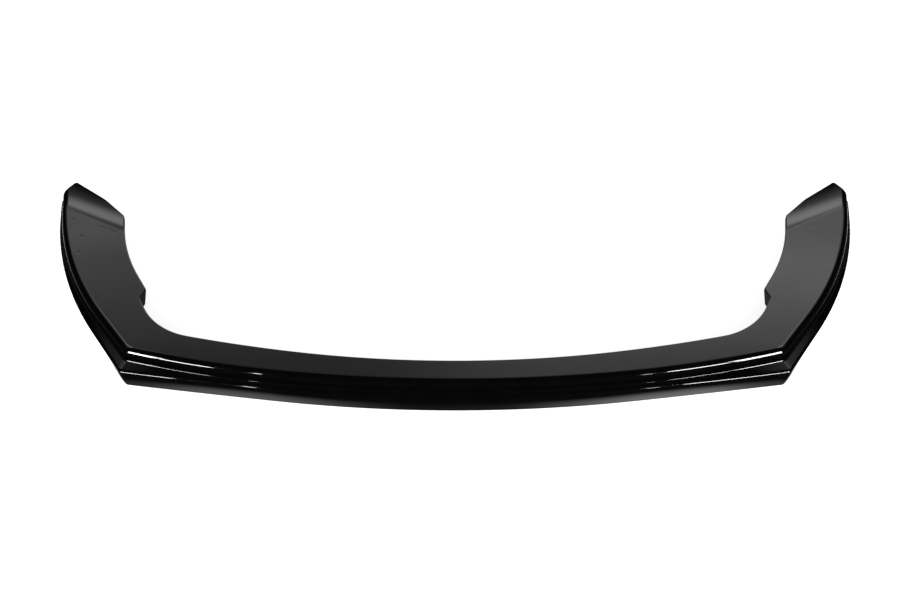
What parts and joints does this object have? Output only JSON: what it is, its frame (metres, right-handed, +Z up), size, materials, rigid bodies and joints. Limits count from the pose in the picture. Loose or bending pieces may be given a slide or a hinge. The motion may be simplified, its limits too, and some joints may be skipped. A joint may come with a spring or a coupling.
{
  "type": "front splitter lip",
  "caption": "Gloss black front splitter lip for a car bumper: a wide U of moulded sheet with a flat seat on top, a stepped and rounded front edge, notched inner edges and up-turned tails.",
  "frame": {"origin": "on the ground plane under the middle of the lip's box; the lip rests on its lower rim", "axes": "+X across the car along the lip's length, to the right as seen from in front, +Y from the nose back to the tails, +Z up out of the bumper seat"},
  "size_m": [1.7446, 0.6038, 0.0799],
  "materials": {
    "gloss_black": "high gloss, as moulded"
  },
  "bodies": {
    "root": {"splitter_lip": "gloss_black"}
  },
  "joints": []
}
